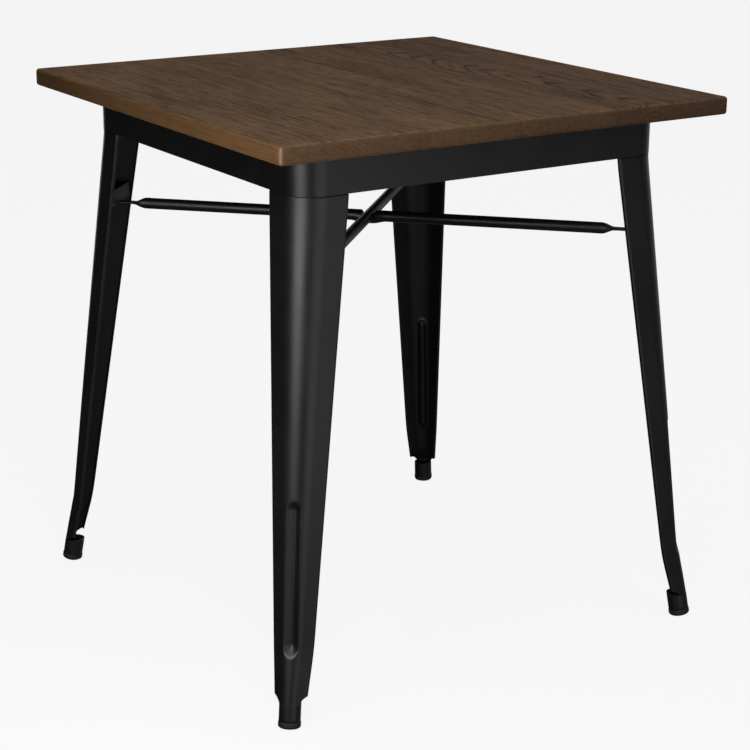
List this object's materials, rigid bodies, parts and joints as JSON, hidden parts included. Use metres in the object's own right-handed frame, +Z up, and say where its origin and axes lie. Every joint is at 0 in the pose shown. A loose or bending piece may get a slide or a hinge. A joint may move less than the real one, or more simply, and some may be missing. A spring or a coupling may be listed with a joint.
{
  "type": "bistro table",
  "caption": "Square bistro table: dark edge-glued timber top on a splayed pressed-steel base with lipped channel legs, rounded apron and a tubular X brace.",
  "frame": {"origin": "on the floor, under the centre of the square top", "axes": "+Z up; -Y is the front, +X to the right of it; the boards of the top run along Y; the legs stand on the diagonals"},
  "size_m": [0.7, 0.7, 0.76],
  "materials": {
    "timber_1": "dark walnut stained and oiled hardwood, brushed grain, satin",
    "timber_2": "dark walnut stained and oiled hardwood, brushed grain, satin",
    "timber_3": "dark walnut stained and oiled hardwood, brushed grain, satin",
    "timber_4": "dark walnut stained and oiled hardwood, brushed grain, satin",
    "timber_5": "dark walnut stained and oiled hardwood, brushed grain, satin",
    "timber_6": "dark walnut stained and oiled hardwood, brushed grain, satin",
    "apron_steel": "satin black powder coat",
    "leg_steel": "satin black powder coat",
    "brace_steel": "satin black powder coat",
    "inner_steel": "satin black powder coat",
    "fixings": "black zinc plated",
    "wood_screws": "zinc plated",
    "foot_rubber": "matt black moulded rubber"
  },
  "bodies": {
    "root": {"apron_back_left": "apron_steel", "apron_back_right": "apron_steel", "apron_front_left": "apron_steel", "apron_front_right": "apron_steel", "brace_bracket_back_left": "inner_steel", "brace_bracket_back_right": "inner_steel", "brace_bracket_front_left": "inner_steel", "brace_bracket_front_right": "inner_steel", "brace_end_bolts": "fixings", "brace_end_nuts": "fixings", "brace_end_washers": "fixings", "brace_tube_over": "brace_steel", "brace_tube_under": "brace_steel", "corner_gusset_back_left": "inner_steel", "corner_gusset_back_right": "inner_steel", "corner_gusset_front_left": "inner_steel", "corner_gusset_front_right": "inner_steel", "foot_cap_back_left": "foot_rubber", "foot_cap_back_right": "foot_rubber", "foot_cap_front_left": "foot_rubber", "foot_cap_front_right": "foot_rubber", "leg_back_left": "leg_steel", "leg_back_right": "leg_steel", "leg_bolt_washers": "fixings", "leg_bolt_weld_nuts": "fixings", "leg_bolts": "fixings", "leg_front_left": "leg_steel", "leg_front_right": "leg_steel", "leg_top_plate_back_left": "inner_steel", "leg_top_plate_back_right": "inner_steel", "leg_top_plate_front_left": "inner_steel", "leg_top_plate_front_right": "inner_steel", "top_plank_1": "timber_1", "top_plank_2": "timber_2", "top_plank_3": "timber_3", "top_plank_4": "timber_4", "top_plank_5": "timber_5", "top_plank_6": "timber_6", "top_screws": "wood_screws"}
  },
  "joints": []
}
